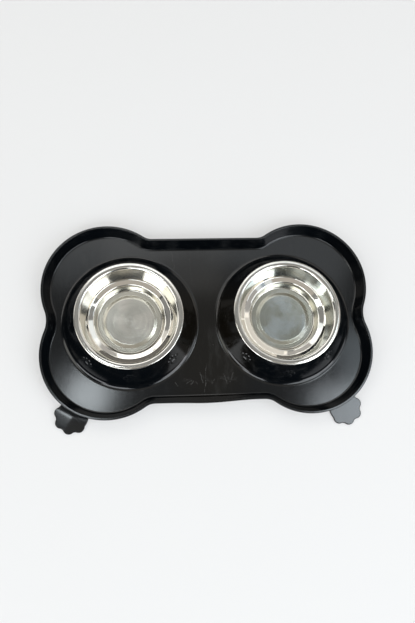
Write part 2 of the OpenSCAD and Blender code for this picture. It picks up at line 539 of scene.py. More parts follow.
@dataclass(frozen=True)
class FloorFinish:
    """The plain pale floor, a board that also glows a little by itself where it is seen."""

    name: str = "pale_floor"
    colour: Colour = (0.4, 0.4, 0.4)
    glow: Colour = (0.405, 0.405, 0.405)
    unseen: Colour = (0.0, 0.0, 0.0)
    mottle: Grain = Grain(3.0)
    mottle_share: float = 0.985

    def build(self) -> bpy.types.Material:
        """Makes the material, with a faint mottle so that it isn't quite flat.

        Returns:
            The material.
        """
        made, desk = new_material(self.name)
        place, _, _ = desk.axes()
        darker = tuple(c * self.mottle_share for c in self.colour)
        rays = desk.add("ShaderNodeLightPath").outputs
        camera, glossy, through = (Signal(desk, rays[f"Is {kind} Ray"])
                                   for kind in ("Camera", "Glossy", "Transmission"))
        finish_surface(desk, {
            "Base Color": desk.mixed(desk.noise(place, self.mottle), self.colour, darker),
            "Roughness": 0.9,
            "Specular IOR Level": 0.1,
            "Emission Color": desk.mixed((camera + glossy + through).least(1.0),
                                         self.unseen, self.glow),
            "Emission Strength": 1.0,
        })
        return made


# Sections of bent sheet


def arc(middle: complex, start: complex, sweep: float, step: float) -> list[complex]:
    """Points of an arc.

    Args:
        middle: The arc's middle.
        start: The vector from the middle to the first point.
        sweep: How far it turns, in radians, positive to the left.
        step: The largest turn between two points, in radians.

    Returns:
        The points, both ends included.
    """
    count = max(1, math.ceil(abs(sweep) / step))
    return [middle + start * cmath.rect(1.0, sweep * k / count) for k in range(count + 1)]


def between(start: complex, end: complex, gap: float) -> list[complex]:
    """Evenly spaced points inside a straight stretch, about a gap apart."""
    count = max(1, round(abs(end - start) / gap))
    return [start + (end - start) * k / count for k in range(1, count)]


def without_repeats(points: Sequence[complex], least: float = 0.02) -> list[complex]:
    """Leaves out points that lie on the one before.

    Args:
        points: The points in order.
        least: The smallest distance between two that are kept.

    Returns:
        The points that are kept.
    """
    kept = [points[0]]
    for point in points[1:]:
        if abs(point - kept[-1]) > least:
            kept.append(point)
    return kept


@dataclass(frozen=True)
class SheetPath:
    """The path through the middle of a bent sheet, with a bend radius at each corner."""

    corners: tuple[complex, ...]
    bends: tuple[float, ...]
    step: float = math.radians(6.0)
    support: float = 0.3

    def direction(self, leg: int) -> complex:
        """The unit direction of one leg.

        Args:
            leg: The leg's number. One past either end stands for the leg at that end.

        Returns:
            The direction.
        """
        leg = min(max(leg, 0), len(self.corners) - 2)
        run = self.corners[leg + 1] - self.corners[leg]
        return run / abs(run)

    def side(self, distance: float) -> list[complex]:
        """One face of the sheet.

        Args:
            distance: How far the face lies to the left of the path.

        Returns:
            Its points, with one more beside each bend so that flats shade flat.
        """
        points: list[complex] = []
        for i, corner in enumerate(self.corners):
            before, after = self.direction(i - 1), self.direction(i)
            turn = cmath.phase(after / before)
            across = 1j * (before + after)
            moved = corner + across / abs(across) * distance / math.cos(turn / 2)
            radius = 0.0
            if self.bends[i]:
                radius = self.bends[i] - math.copysign(distance, turn * distance)
            if radius <= 0.0 or abs(turn) < STRAIGHT:
                points.append(moved)
                continue
            setback = radius * math.tan(abs(turn) / 2)
            start = moved - before * setback
            middle = start + before * 1j * math.copysign(radius, turn)
            bend = arc(middle, start - middle, turn, self.step)
            points += [bend[0] - before * self.support, *bend, bend[-1] + after * self.support]
        return points


@dataclass(frozen=True)
class UpturnedEdge:
    """Section of a sheet that runs along the floor, bends up and ends in a round bead.

    The first number of each point is a plan distance and the second is a height. Half is half
    the sheet's thickness, and nothing rises above flat_top. The steps are in degrees. Rows lie
    row_gap apart, and fine_gap apart in the fine band up the upper face.
    """

    foot: complex
    top: complex
    bend_r: float
    half: float
    bead_r: float
    flat_top: float
    fine_band: Band = (0.0, 0.0)
    neck_r: float = 1.0
    neck_step: float = 15.0
    bead_step: float = 12.5
    floor_margin: float = 1.0
    row_gap: float = 6.0
    fine_gap: float = 0.6

    @property
    def floor_start(self) -> float:
        """Where the section starts on the floor, a margin before its bend."""
        setback = self.bend_r * math.tan(cmath.phase(self.foot - self.top) / -2.0)
        return self.foot.real + setback + self.floor_margin

    @property
    def rise(self) -> complex:
        """The unit direction from the foot to the bead."""
        return (self.top - self.foot) / abs(self.top - self.foot)

    @property
    def outward(self) -> complex:
        """The unit direction that the upper face looks in."""
        return -1j * self.rise

    def loop(self) -> list[complex]:
        """The whole section.

        Returns:
            Points from the top of the floor, over the bead, to the underside of the floor.
        """
        start = complex(self.floor_start, self.half)
        path = SheetPath((start, self.foot, self.top), (0.0, self.bend_r, 0.0))
        upper = path.side(-self.half)[:-1]
        lower = path.side(self.half)[:-1][::-1]
        reach = math.sqrt((self.bead_r + self.neck_r) ** 2 - (self.half + self.neck_r) ** 2)
        neck = self.top + self.outward * (self.half + self.neck_r) - self.rise * reach
        to_neck = (neck - self.top) / abs(neck - self.top)
        sweep = cmath.phase(-to_neck / -self.outward)
        neck_arc = arc(neck, -self.outward * self.neck_r, sweep, math.radians(self.neck_step))
        round_tip = 2.0 * cmath.phase(self.rise / to_neck)
        bead = arc(self.top, to_neck * self.bead_r, round_tip, math.radians(self.bead_step))[1:-1]
        mirrored = [self.top + self.rise ** 2 * (p - self.top).conjugate() for p in neck_arc]
        face = self._face_rows(upper[-1], neck_arc[0])
        back = between(mirrored[0], lower[0], self.row_gap)
        points = [*upper, *face, *neck_arc, *bead, *mirrored[::-1], *back, *lower]
        return [complex(p.real, min(p.imag, self.flat_top)) for p in points]

    def _face_rows(self, start: complex, end: complex) -> list[complex]:
        """Points up the upper face, close together in the fine band.

        Args:
            start: Where the face leaves the bend.
            end: Where it meets the bead's neck.

        Returns:
            The points between the two.
        """
        low, high = self.fine_band
        if high <= low:
            return between(start, end, self.row_gap)
        first, last = (self.foot + self.outward * self.half + self.rise * run
                       for run in (low, high))
        return [*between(start, first, self.row_gap), first, *between(first, last, self.fine_gap),
                last, *between(last, end, self.row_gap)]


# Meshes


class Skin:
    """Points and faces of one closed surface, gathered piece by piece, in millimetres."""

    def __init__(self) -> None:
        """Starts with no points and no faces."""
        self.points: list[np.ndarray] = []
        self.faces: list[tuple[int, ...]] = []
        self.count = 0

    def add_points(self, points: np.ndarray) -> np.ndarray:
        """Adds points.

        Args:
            points: The points, in a grid of any shape.

        Returns:
            Their numbers, in the same shape.
        """
        flat = points.reshape(-1, 3)
        numbers = np.arange(self.count, self.count + len(flat)).reshape(points.shape[:-1])
        self.points.append(flat)
        self.count += len(flat)
        return numbers

    def add_strip(self, grid: np.ndarray) -> np.ndarray:
        """Adds a grid of points that closes on itself along its first axis.

        Args:
            grid: The points, column by column.

        Returns:
            The points' numbers.
        """
        numbers = self.add_points(grid)
        after = np.roll(numbers, -1, axis=0)
        quads = np.stack([numbers[:, :-1], after[:, :-1], after[:, 1:], numbers[:, 1:]], axis=-1)
        self.faces += [tuple(map(int, quad)) for quad in quads.reshape(-1, 4)]
        return numbers

    def add_fan(self, hub: Sequence[float], ring: np.ndarray) -> None:
        """Closes a ring of points with triangles round a hub.

        Args:
            hub: The point in the middle.
            ring: Numbers of the points round it.
        """
        middle = int(self.add_points(np.array([hub]))[0])
        ends = zip(ring.tolist(), np.roll(ring, -1).tolist())
        self.faces += [(middle, start, end) for start, end in ends]

    def add_fill(self, outer: np.ndarray, holes: Sequence[np.ndarray], inner: np.ndarray,
                 flip: bool) -> None:
        """Fills a flat shape with triangles.

        Args:
            outer: Numbers of the points round it.
            holes: Numbers of the points round each hole.
            inner: Loose points in its plane, which the triangles take in.
            flip: Whether the faces look down.
        """
        extra = self.add_points(inner)
        numbers = np.concatenate([outer, *holes, extra])
        every = np.concatenate(self.points)
        edges: list[tuple[int, int]] = []
        for loop in (outer, *holes):
            start, count = len(edges), len(loop)
            edges += [(start + k, start + (k + 1) % count) for k in range(count)]
        plan = [Vector(point) for point in every[numbers][:, :2]]
        spots, _, triangles, sources, *_ = delaunay_2d_cdt(plan, edges, [], 0, SAME_POINT)
        centres = np.array([(spots[a] + spots[b] + spots[c]) / 3 for a, b, c in triangles])
        keep = inside(centres, every[outer][:, :2])
        for hole in holes:
            keep &= ~inside(centres, every[hole][:, :2])
        for triangle, kept in zip(triangles, keep):
            if kept:
                corners = [int(numbers[sources[k][0]]) for k in triangle]
                self.faces.append(tuple(corners[::-1] if flip else corners))

    def to_mesh(self, name: str) -> bpy.types.Mesh:
        """The surface as a smooth-shaded mesh in metres, with its faces looking outwards.

        Args:
            name: The mesh's name.

        Returns:
            The mesh.
        """
        mesh = bpy.data.meshes.new(name)
        mesh.from_pydata((np.concatenate(self.points) * MM).tolist(), [], self.faces)
        work = bmesh.new()
        work.from_mesh(mesh)
        bmesh.ops.recalc_face_normals(work, faces=work.faces)
        work.to_mesh(mesh)
        work.free()
        mesh.shade_smooth()
        return mesh


def inside(points: np.ndarray, loop: np.ndarray) -> np.ndarray:
    """Which points lie inside a closed plan loop.

    Args:
        points: The points, of which X and Y count.
        loop: The loop's points.

    Returns:
        Whether each point lies inside.
    """
    x, y = points[:, 0][:, None], points[:, 1][:, None]
    x0, y0 = loop[:, 0][None], loop[:, 1][None]
    x1, y1 = np.roll(x0, -1, axis=1), np.roll(y0, -1, axis=1)
    crosses = (y0 > y) != (y1 > y)
    rise = np.where(y1 == y0, 1.0, y1 - y0)
    return (crosses & (x < (x1 - x0) * (y - y0) / rise + x0)).sum(axis=1) % 2 == 1


def eased(share: np.ndarray) -> np.ndarray:
    """A share kept from 0 to 1 that starts and ends softly."""
    share = np.clip(share, 0.0, 1.0)
    return share * share * (3.0 - 2.0 * share)


def add_object(mesh: bpy.types.Mesh, *finishes: bpy.types.Material) -> bpy.types.Object:
    """Puts a mesh in the scene.

    Args:
        mesh: The mesh, whose name the object gets.
        finishes: Its materials.

    Returns:
        The object.
    """
    made = bpy.data.objects.new(mesh.name, mesh)
    bpy.context.scene.collection.objects.link(made)
    for finish in finishes:
        mesh.materials.append(finish)
    return made


def join(body: bpy.types.Object, part: bpy.types.Object) -> None:
    """Melts a closed solid into another, leaving one closed mesh.

    Args:
        body: The solid that stays.
        part: The solid that is melted in and removed.
    """
    union = body.modifiers.new("join", "BOOLEAN")
    union.operation, union.solver, union.object = "UNION", "EXACT", part
    bpy.context.view_layer.update()
    seen = body.evaluated_get(bpy.context.evaluated_depsgraph_get())
    made = bpy.data.meshes.new_from_object(seen)
    made.name = body.data.name
    body.modifiers.clear()
    body.data = made
    bpy.data.objects.remove(part)


def dressed(piece: bpy.types.Object, body: str, node: str) -> bpy.types.Object:
    """Rides a piece on its body, in place of its node.

    Args:
        piece: The piece.
        body: The body that it rides on.
        node: The node that it stands for.

    Returns:
        The piece.
    """
    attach(piece, body)
    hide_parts(node)
    return piece


# The mat


@dataclass(frozen=True)
class BoneOutline:
    """The outline of the tray at its lip, in millimetres.

    The waist_length lies between the waists of the two ends, and the edge_width between the two
    straight edges. Stations on arcs are at most step and turn_step degrees apart.
    """

    length: float = 436.0
    width: float = 260.0
    lobe_r: float = 86.0
    waist_length: float = 420.0
    edge_width: float = 222.0
    edge_fillet_r: float = 20.78
    step: float = 2.3
    straight_step: float = 4.6
    turn_step: float = 4.0

    @property
    def lobe(self) -> complex:
        """The middle of the lobe at the back right."""
        return complex(self.length / 2 - self.lobe_r, self.width / 2 - self.lobe_r)

    def _quarter(self) -> list[tuple[complex, complex]]:
        """The back right quarter, from the waist at the end to the straight back edge.

        Returns:
            Its points with the inward direction at each.
        """
        gap = self.waist_length / 2 - self.lobe.real
        waist_r = (gap ** 2 + self.lobe.imag ** 2 - self.lobe_r ** 2) / (self.lobe_r - gap) / 2
        waist = complex(self.waist_length / 2 + waist_r, 0.0)
        rise = self.edge_width / 2 + self.edge_fillet_r - self.lobe.imag
        span = math.sqrt((self.lobe_r + self.edge_fillet_r) ** 2 - rise ** 2)
        edge = self.lobe + complex(-span, rise)
        to_waist = cmath.phase(waist - self.lobe)
        to_edge = cmath.phase(edge - self.lobe)
        stretches = (
            (waist, waist_r, math.pi, math.pi + to_waist, -1),
            (self.lobe, self.lobe_r, to_waist, to_edge, 1),
            (edge, self.edge_fillet_r, to_edge - math.pi, -math.pi / 2, -1),
        )
        rows: list[tuple[complex, complex]] = []
        for middle, radius, start, end, facing in stretches:
            step = min(self.step / radius, math.radians(self.turn_step))
            count = math.ceil(abs(end - start) / step)
            for k in range(count):
                ray = cmath.rect(1.0, start + (end - start) * k / count)
                rows.append((middle + radius * ray, -facing * ray))
        count = math.ceil(edge.real / self.straight_step)
        corner = complex(edge.real, self.edge_width / 2)
        rows += [(corner - edge.real * k / count, -1j) for k in range(count)]
        return rows

    def stations(self) -> list[tuple[complex, complex]]:
        """The whole outline, to the left.

        Returns:
            Its points with the inward direction at each.
        """
        quarter = self._quarter()
        middle = (complex(0.0, self.edge_width / 2), -1j)
        mirrored = [(-p.conjugate(), -n.conjugate()) for p, n in quarter[:0:-1]]
        half = [*quarter, middle, *mirrored]
        end = (complex(-self.waist_length / 2, 0.0), complex(1.0, 0.0))
        return [*half, end, *[(p.conjugate(), n.conjugate()) for p, n in half[:0:-1]]]


@dataclass(frozen=True)
class Pad:
    """One oval pad of a paw print: its middle and its half sizes, in millimetres."""

    x: float
    y: float
    wide: float
    tall: float


@dataclass(frozen=True)
class PawRelief:
    """A small paw print moulded on the cone of a collar, toes towards the rim, in millimetres.

    Its middle is measured up the cone from the foot, and reach is how far it goes down and up
    from there. The edge is the width of each pad's soft slope.
    """

    middle: float = 19.0
    reach: Band = (8.0, 8.6)
    height: float = 0.55
    edge: float = 0.9
    pads: tuple[Pad, ...] = (
        Pad(0.0, -3.4, 4.4, 3.2),
        Pad(-6.4, 1.2, 1.9, 2.5),
        Pad(-2.4, 4.6, 1.9, 2.6),
        Pad(2.4, 4.6, 1.9, 2.6),
        Pad(6.4, 1.2, 1.9, 2.5),
    )

    @property
    def band(self) -> Band:
        """Where the print starts and ends, measured up the cone."""
        return self.middle - self.reach[0], self.middle + self.reach[1]

    def rise(self, across: np.ndarray, up: np.ndarray) -> np.ndarray:
        """How far the surface stands proud.

        Args:
            across: Distance to the side of the print's middle.
            up: Distance up the cone from its middle.

        Returns:
            The rise at each place.
        """
        depths = [(1.0 - np.hypot((across - pad.x) / pad.wide, (up - pad.y) / pad.tall))
                  * min(pad.wide, pad.tall) for pad in self.pads]
        return self.height * eased(np.max(depths, axis=0) / self.edge + 0.5)


@dataclass(frozen=True)
class GripTab:
    """The paw-shaped tab that runs out from under the wall of a front lobe, in millimetres.

    Its angle and the toes' step and turn are in degrees. Its underside starts a hair above the
    table and its top a hair below the tray's floor, so that the two solids join cleanly.
    """

    angle: float = 60.0
    reach: float = 4.0
    pad_r: float = 20.6
    toe_r: float = 7.2
    toe_reach: float = 16.2
    toe_step: float = 46.0
    toe_turn: float = 8.0
    toe_count: int = 4
    soft: float = 0.9
    edge_points: int = 170
    hair: float = 0.04
    chamfer: float = 0.25
    round_r: float = 0.8
    round_steps: int = 6
    support: float = 0.4
    grid_half: float = 27.0
    grid_gap: float = 2.0
    grid_share: float = 0.94
    curled: End = End.LEFT
    curl: float = 0.9
    curl_start: float = 6.0
    curl_run: float = 14.0

    def _radius(self, angle: np.ndarray) -> np.ndarray:
        """Distance from the middle of the pad to the tab's edge, with soft notches between toes.

        Args:
            angle: The directions, in radians.

        Returns:
            The distance in each.
        """
        reach = [np.full(angle.shape, self.pad_r)]
        for i in range(self.toe_count):
            toe = (i - (self.toe_count - 1) / 2) * self.toe_step + self.toe_turn
            off = angle - math.radians(toe)
            chord = self.toe_r ** 2 - (self.toe_reach * np.sin(off)) ** 2
            hit = self.toe_reach * np.cos(off) + np.sqrt(np.maximum(chord, 0.0))
            reach.append(np.where((chord > 0.0) & (np.cos(off) > 0.0), hit, 0.0))
        total = sum(np.exp(r / self.soft * 2.0) for r in reach)
        return np.log(total) * self.soft / 2.0

    def outline(self, root: float) -> np.ndarray:
        """Plan points round the tab, to the left, with X outwards from the pad's middle.

        Args:
            root: How far inside the pad's middle the tab starts.

        Returns:
            The points.
        """
        turn = math.acos(-root / self.pad_r)
        angles = np.linspace(-turn, turn, self.edge_points)
        radii = self._radius(angles)
        return np.stack([radii * np.cos(angles), radii * np.sin(angles)], axis=1)

    def _rows(self, thickness: float) -> list[tuple[float, float]]:
        """The tab's edge, from its underside to its top.

        Args:
            thickness: Thickness of the sheet.

        Returns:
            How far inside the outline each row lies, and its height.
        """
        top = thickness - self.hair
        rows = [(self.chamfer, self.hair), (0.0, self.chamfer + self.hair)]
        for k in range(self.round_steps + 1):
            turn = math.radians(90.0 * k / self.round_steps)
            rows.append((self.round_r * (1 - math.cos(turn)),
                         top - self.round_r * (1 - math.sin(turn))))
        return [*rows, (self.round_r + self.support, top)]

    def solid(self, name: str, outline: BoneOutline, root: float, thickness: float,
              end: End) -> bpy.types.Object:
        """The tab as a closed solid in place.

        Args:
            name: The object's name.
            outline: The tray's outline.
            root: How far inside the lip the tab starts.
            thickness: Thickness of the sheet.
            end: Which end of the mat it is on.

        Returns:
            The object.
        """
        loop = self.outline(self.reach + root)
        leg = np.roll(loop, -1, axis=0) - np.roll(loop, 1, axis=0)
        outward = np.stack([leg[:, 1], -leg[:, 0]], axis=1) / np.linalg.norm(leg, axis=1)[:, None]
        outward[0], outward[-1] = (0.0, -1.0), (0.0, 1.0)
        grid = np.stack([np.column_stack([loop - outward * inset, np.full(len(loop), z)])
                         for inset, z in self._rows(thickness)], axis=1)
        skin = Skin()
        numbers = skin.add_strip(grid)
        skin.add_fill(numbers[:, 0], (), np.zeros((0, 3)), True)
        skin.add_fill(numbers[:, -1], (), self._loose(grid[:, -1]), False)
        turn = cmath.rect(1.0, -math.radians(self.angle))
        for points in skin.points:
            if end is self.curled:
                points[:, 2] += self._lift(points, -self.reach - root)
            plan = points[:, 0] + 1j * points[:, 1] + outline.lobe_r + self.reach
            plan = plan * turn + outline.lobe.conjugate()
            points[:, 0], points[:, 1] = plan.real * end.value, plan.imag
        return add_object(skin.to_mesh(name))

    def _loose(self, rim: np.ndarray) -> np.ndarray:
        """Points inside the top face, so that it can curl.

        Args:
            rim: The points round the face.

        Returns:
            Points of a grid in its plane.
        """
        steps = np.arange(-self.grid_half, self.grid_half, self.grid_gap)
        x, y = (part.ravel() for part in np.meshgrid(steps, steps))
        spots = np.stack([x, y, np.full(len(x), rim[0, 2])], axis=1)
        plan = rim[:, :2]
        return spots[inside(spots, plan) & inside(spots, plan * self.grid_share)]

    def _lift(self, points: np.ndarray, root: float) -> np.ndarray:
        """How far a worn tab curls up off the table, more away from the wall and less to one side.

        Args:
            points: Points of the tab, with X outwards from the pad's middle.
            root: X where the tab starts.

        Returns:
            The lift of each.
        """
        along = eased((points[:, 0] - root - self.curl_start) / self.curl_run)
        across = np.clip((self.pad_r + points[:, 1]) / self.pad_r, 0.0, 1.0)
        return self.curl * across * along


@dataclass(frozen=True)
class Flex:
    """A soft push of the front wall: where it is, how wide and how far out, in millimetres."""

    x: float
    wide: float
    far: float


@dataclass(frozen=True)
class Mat:
    """The silicone moulding: tray wall, floor, two collars and two grip tabs, in millimetres.

    The lip's bead is cut lip_flat below its full height. The flexes start flex_start before the
    middle and reach their full push flex_depth further on. Half a paw print spans paw_half
    degrees round a collar. Loose points of the floor keep clear of the walls' bends.
    """

    outline: BoneOutline = field(default_factory=BoneOutline)
    paw: PawRelief = field(default_factory=PawRelief)
    tab: GripTab = field(default_factory=GripTab)
    finish: SiliconeFinish = field(default_factory=SiliconeFinish)
    height: float = 19.0
    sheet: float = 2.6
    wall_run: float = 7.6
    wall_bend_r: float = 4.5
    lip_r: float = 1.7
    lip_flat: float = 0.5
    bowl_x: float = BOWL_X
    collar_foot_r: float = 86.7
    collar_top: complex = 65.27 + 38.4j
    collar_bend_r: float = 10.0
    collar_lip_r: float = 1.8
    seat_z: float = SEAT_Z
    face_start: float = 4.0
    face_end: float = 3.0
    paws: int = 8
    paw_half: float = 6.6
    paw_columns: int = 33
    plain_columns: int = 13
    flex_start: float = 98.0
    flex_depth: float = 12.0
    flexes: tuple[Flex, ...] = (Flex(-5.0, 30.0, 1.4), Flex(60.0, 28.0, -1.5))
    floor_gap: float = 9.0
    floor_clear: float = 2.0
    wall_clear: float = 2.5
    sharp_angle: float = 50.0

    def wall(self) -> UpturnedEdge:
        """The tray wall's section.

        Returns:
            The section, with inset from the outline and then height.
        """
        foot = complex(self.lip_r + self.wall_run, self.sheet / 2)
        top = complex(self.lip_r, self.height - self.lip_r + self.lip_flat)
        return UpturnedEdge(foot, top, self.wall_bend_r, self.sheet / 2, self.lip_r, self.height)

    def collar(self) -> UpturnedEdge:
        """A collar's section.

        Returns:
            The section, with distance from the bowl's axis and then height.
        """
        foot = complex(self.collar_foot_r, self.sheet / 2)
        return UpturnedEdge(foot, self.collar_top, self.collar_bend_r, self.sheet / 2,
                            self.collar_lip_r, self.seat_z, self.paw.band)

    def _tray_grid(self) -> np.ndarray:
        """The tray wall.

        Returns:
            Its points, station by station.
        """
        places = np.array(self.outline.stations())
        section = np.array(self.wall().loop())
        plan = places[:, :1] + places[:, 1:] * section.real[None]
        plan = plan - 1j * self._front_flex(plan)
        high = np.broadcast_to(section.imag[None], plan.shape)
        return np.stack([plan.real, plan.imag, high], axis=-1)

    def _front_flex(self, plan: np.ndarray) -> np.ndarray:
        """How far the soft front wall is pushed outwards, most of all at its lip.

        Args:
            plan: Plan points of the wall.

        Returns:
            The push at each.
        """
        push = sum(flex.far * np.exp(-((plan.real - flex.x) / flex.wide) ** 2)
                   for flex in self.flexes)
        return push * eased((-plan.imag - self.flex_start) / self.flex_depth)

    def _collar_angles(self) -> np.ndarray:
        """Angles round a collar, close together across each paw print.

        Returns:
            The angles, in radians.
        """
        turn = 2.0 * math.pi / self.paws
        half = math.radians(self.paw_half)
        dense = np.linspace(-half, half, self.paw_columns)
        sparse = np.linspace(half, turn - half, self.plain_columns)[1:-1]
        one = np.concatenate([dense, sparse])
        return np.concatenate([one + turn * k for k in range(self.paws)])

    def _collar_grid(self, end: End) -> np.ndarray:
        """A collar, with the paw prints raised on its cone.

        Args:
            end: Which end of the mat it is on.

        Returns:
            Its points, column by column.
        """
        edge = self.collar()
        section = np.array(edge.loop())
        angles = self._collar_angles()
        turn = 2.0 * math.pi / self.paws
        near = (angles + turn / 2) % turn - turn / 2
        run = (section - edge.foot) / edge.rise
        face_top = abs(edge.top - edge.foot) - self.face_end
        on_face = (run.imag < 0.0) & (run.real > self.face_start) & (run.real < face_top)
        across = near[:, None] * section.real[None]
        up = np.broadcast_to(run.real[None] - self.paw.middle, across.shape)
        proud = np.where(on_face[None], self.paw.rise(across, up), 0.0)
        moved = section[None] + edge.outward * proud
        ray = np.exp(1j * angles)[:, None] * moved.real
        return np.stack([ray.real + end.value * self.bowl_x, ray.imag, moved.imag], axis=-1)

    def _floor_points(self, high: float) -> np.ndarray:
        """Points of a coarse grid over the whole floor.

        Args:
            high: Their height.

        Returns:
            The points.
        """
        counts = [int(size / 2 / self.floor_gap) for size in (self.outline.length,
                                                              self.outline.width)]
        x, y = np.meshgrid(*(np.arange(-n, n + 1) * self.floor_gap for n in counts))
        return np.stack([x.ravel(), y.ravel(), np.full(x.size, high)], axis=-1)

    def _fill_floor(self, skin: Skin, tray: np.ndarray, collars: Sequence[np.ndarray]) -> None:
        """Closes the top and the underside of the floor, between the wall and the collars.

        Args:
            skin: The surface so far.
            tray: Numbers of the wall's points.
            collars: Numbers of each collar's points.
        """
        every = np.concatenate(skin.points)
        clear = self.collar().floor_start + self.floor_clear
        for row, high, flip in ((0, self.sheet, False), (-1, 0.0, True)):
            rim = every[tray[:, row]][:, :2]
            loose = self._floor_points(high)
            keep = inside(loose, rim)
            for end in End:
                keep &= np.hypot(loose[:, 0] - end.value * self.bowl_x, loose[:, 1]) > clear
            gaps = np.array([np.hypot(*(rim - p[:2]).T).min() for p in loose])
            keep &= gaps > self.wall_clear
            skin.add_fill(tray[:, row], [c[:, row] for c in collars], loose[keep], flip)

    def build(self) -> bpy.types.Object:
        """Builds the moulding as one closed mesh and dresses it.

        Returns:
            The piece.
        """
        skin = Skin()
        tray = skin.add_strip(self._tray_grid())
        collars = [skin.add_strip(self._collar_grid(end)) for end in End]
        self._fill_floor(skin, tray, collars)
        body = add_object(skin.to_mesh("mat_moulding"))
        root = self.wall().floor_start
        for end in End:
            name = f"{end.word}_tab_blank"
            join(body, self.tab.solid(name, self.outline, root, self.sheet, end))
        body.data.shade_smooth()
        body.data.set_sharp_from_angle(angle=math.radians(self.sharp_angle))
        body.data.materials.clear()
        body.data.materials.append(self.finish.build())
        return dressed(body, "mat", "mat")


# The bowls


# Painted light on each bowl's floor: the left floor painted lighter and warm, the right one darker
# with bluish patches of painted reflection.
PAINTED_FLOOR_LIGHT_BY_END: dict[End, tuple[Colour, Colour]] = {
    End.LEFT: ((0.66, 0.65, 0.59), (0.8, 0.77, 0.7)),
    End.RIGHT: ((0.4, 0.42, 0.37), (0.56, 0.62, 0.64)),
}


@dataclass(frozen=True)
class Bowl:
    """A pressed steel bowl with a rolled rim, a step and an inner cup, in millimetres."""

    end: End
    bowl_x: float = BOWL_X
    diameter: float = 140.0
    seat_z: float = SEAT_Z
    steel: float = 0.8
    foot_gap: float = 3.4
    roll_r: float = 0.9
    rim_w: float = 7.4
    rim_bend_r: float = 3.2
    crown_inset: float = 2.8
    crown_rise: float = 0.15
    crown_drop: float = 0.1
    crown_bend_r: float = 12.0
    step_outer_d: float = 108.0
    step_inner_d: float = 93.2
    step_h: float = 13.4
    step_rise: float = 1.9
    step_bend_r: float = 1.8
    cup_floor_d: float = 87.0
    cup_bend_r: float = 2.2
    plateau_d: float = 63.0
    plateau_rise: float = 1.2
    plateau_slope_w: float = 4.6
    plateau_bend_r: float = 4.0
    support: float = 0.25
    columns: int = 288

    def path(self) -> SheetPath:
        """The path through the middle of the steel, from the axis to the end of the roll.

        Returns:
            The path, with radius and then height at each corner.
        """
        half, out = self.steel / 2, self.diameter / 2 - self.steel / 2
        rim, foot = self.seat_z + half, self.foot_gap + half
        cup_top = foot + self.step_h
        plateau_r, roll = self.plateau_d / 2, 2.0 * self.roll_r
        stretches = (
            (0.0, foot + self.plateau_rise, 0.0),
            (plateau_r, foot + self.plateau_rise, self.plateau_bend_r),
            (plateau_r + self.plateau_slope_w, foot, self.plateau_bend_r),
            (self.cup_floor_d / 2, foot, self.cup_bend_r),
            (self.step_inner_d / 2, cup_top, self.step_bend_r),
            (self.step_outer_d / 2, cup_top + self.step_rise, self.step_bend_r),
            (self.diameter / 2 - self.rim_w, rim - self.crown_drop, self.rim_bend_r),
            (out - self.crown_inset, rim + self.crown_rise, self.crown_bend_r),
            (out, rim - self.crown_drop / 2, self.roll_r),
            (out, rim - roll, self.roll_r),
            (out - roll, rim - roll, self.roll_r),
            (out - roll, rim - self.roll_r, 0.0),
        )
        corners = tuple(complex(radius, high) for radius, high, _ in stretches)
        return SheetPath(corners, tuple(bend for *_, bend in stretches), support=self.support)

    def build(self) -> bpy.types.Object:
        """Builds the bowl as one closed mesh of revolution and dresses it.

        Returns:
            The piece.
        """
        path = self.path()
        inner, outer = path.side(self.steel / 2), path.side(-self.steel / 2)[::-1]
        loop = without_repeats([*inner, *outer])
        section = np.array(loop[1:-1])
        rays = np.exp(2j * math.pi * np.arange(self.columns) / self.columns)
        plan = rays[:, None] * section.real[None]
        high = np.broadcast_to(section.imag[None], plan.shape)
        middle = self.end.value * self.bowl_x
        skin = Skin()
        numbers = skin.add_strip(np.stack([plan.real + middle, plan.imag, high], axis=-1))
        for row, pole in ((0, loop[0]), (-1, loop[-1])):
            skin.add_fan((middle, 0.0, pole.imag), numbers[:, row])
        name = f"{self.end.word}_bowl"
        finish = SteelFinish(f"{name}_steel", middle * MM, PAINTED_FLOOR_LIGHT_BY_END[self.end])
        piece = add_object(skin.to_mesh(f"{name}_pressing"), finish.build())
        return dressed(piece, name, name)


# The studio


@dataclass(frozen=True)
class SoftLamp:
    """A rectangular soft lamp that looks at the part from a direction.

    Angles are in degrees and lengths in metres. The glow is the brightness of the lamp's face.
    """

    name: str
    azimuth: float
    elevation: float
    wide: float
    tall: float
    glow: float
    colour: Colour
    distance: float = 2.4

    def build(self) -> None:
        """Makes the lamp and aims it at the middle of the mat."""
        light = bpy.data.lights.new(self.name, "AREA")
        light.shape, light.size, light.size_y = "RECTANGLE", self.wide, self.tall
        light.energy, light.color = self.glow * math.pi * self.wide * self.tall, self.colour
        made = bpy.data.objects.new(self.name, light)
        a, e = math.radians(self.azimuth), math.radians(self.elevation)
        away = Vector((math.cos(a) * math.cos(e), math.sin(a) * math.cos(e), math.sin(e)))
        made.location = away * self.distance
        made.rotation_mode = "QUATERNION"
        made.rotation_quaternion = away.to_track_quat("Z", "Y")
        bpy.context.scene.collection.objects.link(made)


